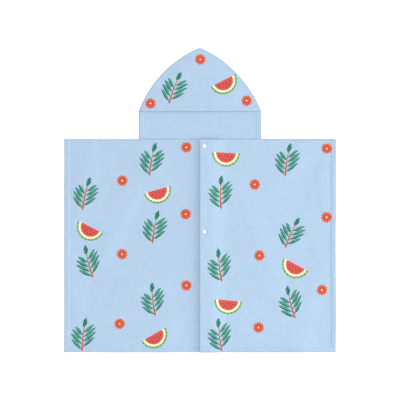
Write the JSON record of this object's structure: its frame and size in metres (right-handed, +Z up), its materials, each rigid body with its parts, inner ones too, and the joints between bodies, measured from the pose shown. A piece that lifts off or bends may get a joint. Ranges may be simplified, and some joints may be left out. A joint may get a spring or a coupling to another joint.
{
  "type": "hooded bath poncho",
  "caption": "Child's hooded bath poncho in printed terry cloth, laid flat: a back, lapped fronts closed by snaps, and a pointed hood open towards the face.",
  "frame": {"origin": "middle of the garment's outline, on the surface that it lies on", "axes": "+X from the lower front to the upper front, +Y from the hem to the hood's point, +Z up from the surface"},
  "size_m": [0.7, 0.785, 0.0129],
  "materials": {
    "terry_print": "soft terry loops, light blue, with a small scattered print on the outer face",
    "terry_plain": "soft terry loops, light blue, plain on the inside that shows",
    "snap_plastic": "pearly white moulded plastic"
  },
  "bodies": {
    "root": {"back_panel": "terry_print", "hood_back": "terry_plain", "hood_front": "terry_print", "front_under": "terry_print", "front_over": "terry_print", "snap_1_cap": "snap_plastic", "snap_1_socket": "snap_plastic", "snap_1_stud": "snap_plastic", "snap_1_back_cap": "snap_plastic", "snap_2_cap": "snap_plastic", "snap_2_socket": "snap_plastic", "snap_2_stud": "snap_plastic", "snap_2_back_cap": "snap_plastic"}
  },
  "joints": []
}
